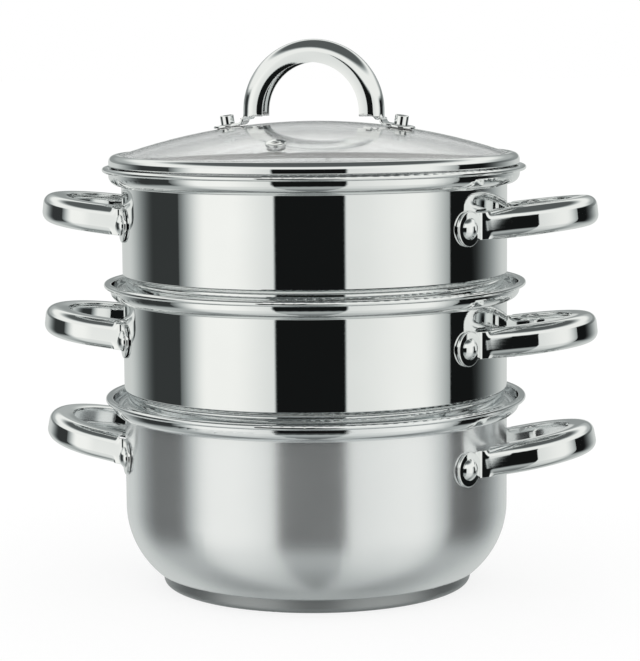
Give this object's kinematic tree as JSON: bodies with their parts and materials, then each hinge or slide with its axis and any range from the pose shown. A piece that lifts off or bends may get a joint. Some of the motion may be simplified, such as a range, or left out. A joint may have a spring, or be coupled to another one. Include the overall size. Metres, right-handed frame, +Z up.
{
  "type": "steamer pot",
  "caption": "Tiered steamer pot: bellied pot on an encapsulated base, perforated steamer tiers that stack in its rim, loop side handles and a domed glass lid.",
  "frame": {"origin": "centre of the underside of the pot's base", "axes": "+Z up along the vessels' common axis, X along the line of the side handles, -Y towards the lid's steam vent"},
  "size_m": [0.2956, 0.2196, 0.2835],
  "materials": {
    "mirror_steel": "mirror polished stainless steel",
    "satin_steel": "satin brushed stainless steel",
    "aluminium": "plain",
    "glass": "clear tempered glass",
    "silicone": "translucent silicone"
  },
  "bodies": {
    "pot": {"pot_shell": "satin_steel", "base_core": "aluminium", "base_cap": "satin_steel", "pot_handle_left": "mirror_steel", "pot_rivets_left": "mirror_steel", "pot_handle_right": "mirror_steel", "pot_rivets_right": "mirror_steel"},
    "lower_steamer": {"lower_steamer_shell": "mirror_steel", "lower_steamer_handle_left": "mirror_steel", "lower_steamer_rivets_left": "mirror_steel", "lower_steamer_handle_right": "mirror_steel", "lower_steamer_rivets_right": "mirror_steel"},
    "upper_steamer": {"upper_steamer_shell": "mirror_steel", "upper_steamer_handle_left": "mirror_steel", "upper_steamer_rivets_left": "mirror_steel", "upper_steamer_handle_right": "mirror_steel", "upper_steamer_rivets_right": "mirror_steel"},
    "lid": {"lid_glass": "glass", "lid_rim_band": "mirror_steel", "lid_vent_grommet": "mirror_steel", "lid_handle": "mirror_steel", "lid_screws": "mirror_steel", "lid_cap_nuts": "mirror_steel", "lid_upper_seals": "silicone", "lid_lower_seals": "silicone", "lid_steel_washers": "mirror_steel"}
  },
  "joints": [
    {"name": "lower_steamer_lift", "type": "slide", "parent": "pot", "child": "lower_steamer", "axis": [0, 0, 1], "range_m": [0, 0.1]},
    {"name": "upper_steamer_lift", "type": "slide", "parent": "lower_steamer", "child": "upper_steamer", "axis": [0, 0, 1], "range_m": [0, 0.1]},
    {"name": "lid_lift", "type": "slide", "parent": "upper_steamer", "child": "lid", "axis": [0, 0, 1], "range_m": [0, 0.1]}
  ]
}
